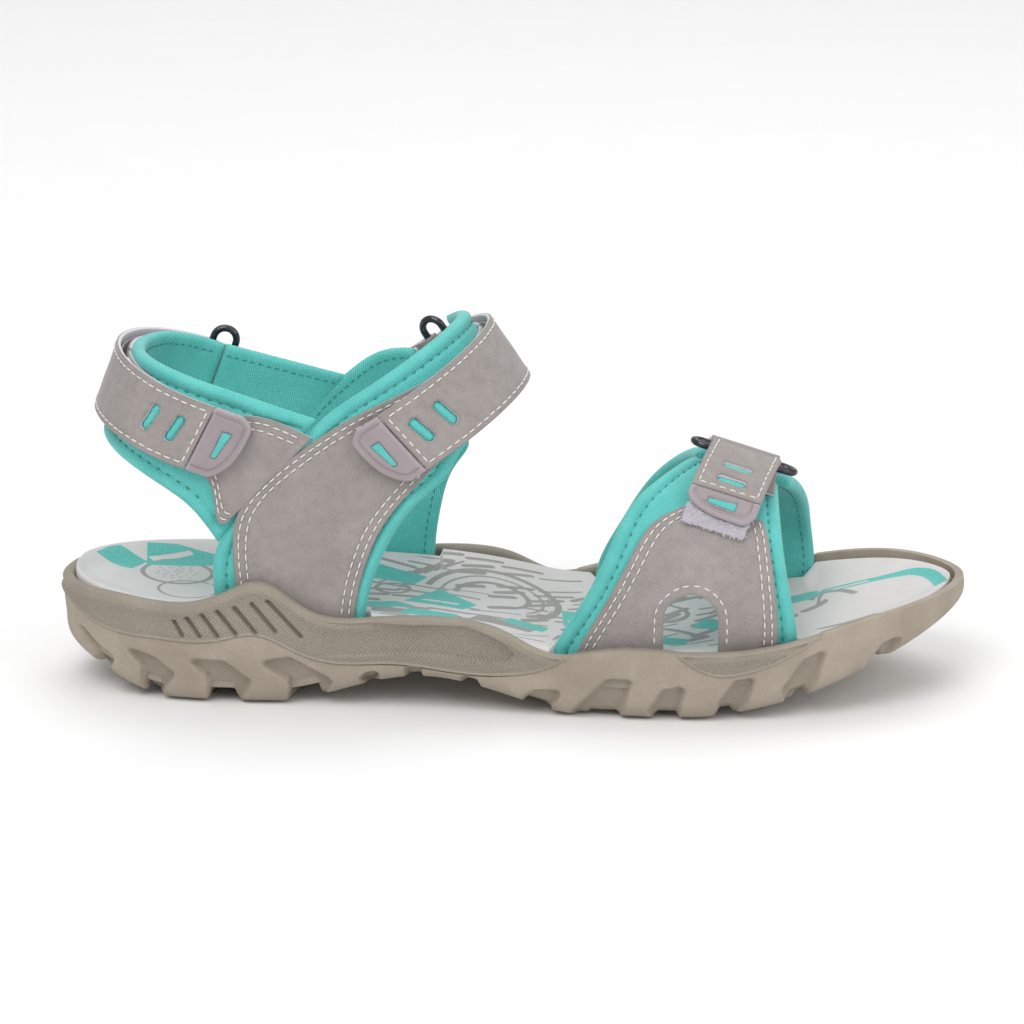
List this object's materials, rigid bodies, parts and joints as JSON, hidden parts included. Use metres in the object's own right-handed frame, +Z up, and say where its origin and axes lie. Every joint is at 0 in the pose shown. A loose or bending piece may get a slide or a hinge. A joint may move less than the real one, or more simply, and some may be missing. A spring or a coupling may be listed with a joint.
{
  "type": "strappy sport sandal",
  "caption": "Open sport sandal for a right foot: lugged sole, padded upper and hook-and-loop straps run through oval rings at the heel, instep and forefoot.",
  "frame": {"origin": "on the ground, under the middle of the sandal", "axes": "+X towards the toe, +Y towards the big-toe side, +Z up"},
  "size_m": [0.2708, 0.0976, 0.1139],
  "materials": {
    "midsole": "matt moulded foam",
    "outsole": "matt rubber",
    "shank": "matt",
    "board": "fibre board",
    "footbed": "matt foam",
    "footbed_cover": "printed textile",
    "lining": "stretch twill over foam",
    "nubuck": "nubuck",
    "loop_tape": "brushed loop pile",
    "hook_tape": "hook tape",
    "ring": "dark nickel",
    "tab": "soft moulded plastic",
    "inlay": "satin"
  },
  "bodies": {
    "sandal": {"midsole": "midsole", "outsole": "outsole", "arch_shank": "shank", "lasting_board": "board", "footbed": "footbed", "footbed_cover": "footbed_cover", "lateral_quarter_lining": "lining", "lateral_quarter_panel": "nubuck", "heel_pad": "lining", "lateral_rear_panel": "nubuck", "medial_quarter_lining": "lining", "medial_quarter_panel": "nubuck", "medial_collar_lining": "lining", "medial_rear_panel": "nubuck", "lateral_forefoot_lining": "lining", "lateral_forefoot_panel": "nubuck", "medial_forefoot_lining": "lining", "medial_forefoot_panel": "nubuck", "heel_strap_base": "nubuck", "heel_ring_anchor": "nubuck", "heel_loop_tape": "loop_tape", "instep_strap_base": "nubuck", "instep_ring_anchor": "nubuck", "instep_loop_tape": "loop_tape", "forefoot_strap_base": "nubuck", "forefoot_ring_anchor": "nubuck", "forefoot_loop_tape": "loop_tape"},
    "heel_ring_link": {"heel_ring": "ring"},
    "heel_closing_strap": {"heel_strap": "nubuck", "heel_slot_inlay": "inlay", "heel_strap_hooks": "hook_tape"},
    "heel_pull_tab": {"heel_tab": "tab", "heel_tab_inlay": "inlay", "heel_tab_hooks": "hook_tape"},
    "instep_ring_link": {"instep_ring": "ring"},
    "instep_closing_strap": {"instep_strap": "nubuck", "instep_slot_inlay": "inlay", "instep_strap_hooks": "hook_tape"},
    "instep_pull_tab": {"instep_tab": "tab", "instep_tab_inlay": "inlay", "instep_tab_hooks": "hook_tape"},
    "forefoot_ring_link": {"forefoot_ring": "ring"},
    "forefoot_closing_strap": {"forefoot_strap": "nubuck", "forefoot_slot_inlay": "inlay", "forefoot_strap_hooks": "hook_tape"},
    "forefoot_pull_tab": {"forefoot_tab": "tab", "forefoot_tab_inlay": "inlay", "forefoot_tab_hooks": "hook_tape"}
  },
  "joints": [
    {"name": "heel_ring_swing", "type": "hinge", "parent": "sandal", "child": "heel_ring_link", "pos_m": [-0.08983, 0.0339, 0.08235], "axis": [-0.342, 0, -0.9397], "range_deg": [0, 30]},
    {"name": "heel_strap_open", "type": "hinge", "parent": "heel_ring_link", "child": "heel_closing_strap", "pos_m": [-0.09639, 0.03342, 0.08473], "axis": [-0.342, 0, -0.9397], "range_deg": [0, 110]},
    {"name": "heel_tab_peel", "type": "hinge", "parent": "heel_closing_strap", "child": "heel_pull_tab", "pos_m": [-0.0896, -0.037, 0.08226], "axis": [-0.342, 0, -0.9397], "range_deg": [0, 60]},
    {"name": "instep_ring_swing", "type": "hinge", "parent": "sandal", "child": "instep_ring_link", "pos_m": [-0.02078, 0.03061, 0.08782], "axis": [-0.5592, 0, 0.829], "range_deg": [0, 30]},
    {"name": "instep_strap_open", "type": "hinge", "parent": "instep_ring_link", "child": "instep_closing_strap", "pos_m": [-0.01565, 0.02735, 0.09128], "axis": [-0.5592, 0, 0.829], "range_deg": [0, 110]},
    {"name": "instep_tab_peel", "type": "hinge", "parent": "instep_closing_strap", "child": "instep_pull_tab", "pos_m": [-0.03045, -0.03675, 0.0813], "axis": [-0.5592, 0, 0.829], "range_deg": [0, 60]},
    {"name": "forefoot_ring_swing", "type": "hinge", "parent": "sandal", "child": "forefoot_ring_link", "pos_m": [0.06933, 0.00917, 0.06691], "axis": [-0.9532, 0, 0.3024], "range_deg": [0, 30]},
    {"name": "forefoot_strap_open", "type": "hinge", "parent": "forefoot_ring_link", "child": "forefoot_closing_strap", "pos_m": [0.06953, 0.0022, 0.06755], "axis": [-0.9532, 0, 0.3024], "range_deg": [0, 110]},
    {"name": "forefoot_tab_peel", "type": "hinge", "parent": "forefoot_closing_strap", "child": "forefoot_pull_tab", "pos_m": [0.06836, -0.02816, 0.06385], "axis": [-0.9532, 0, 0.3024], "range_deg": [0, 60]}
  ]
}
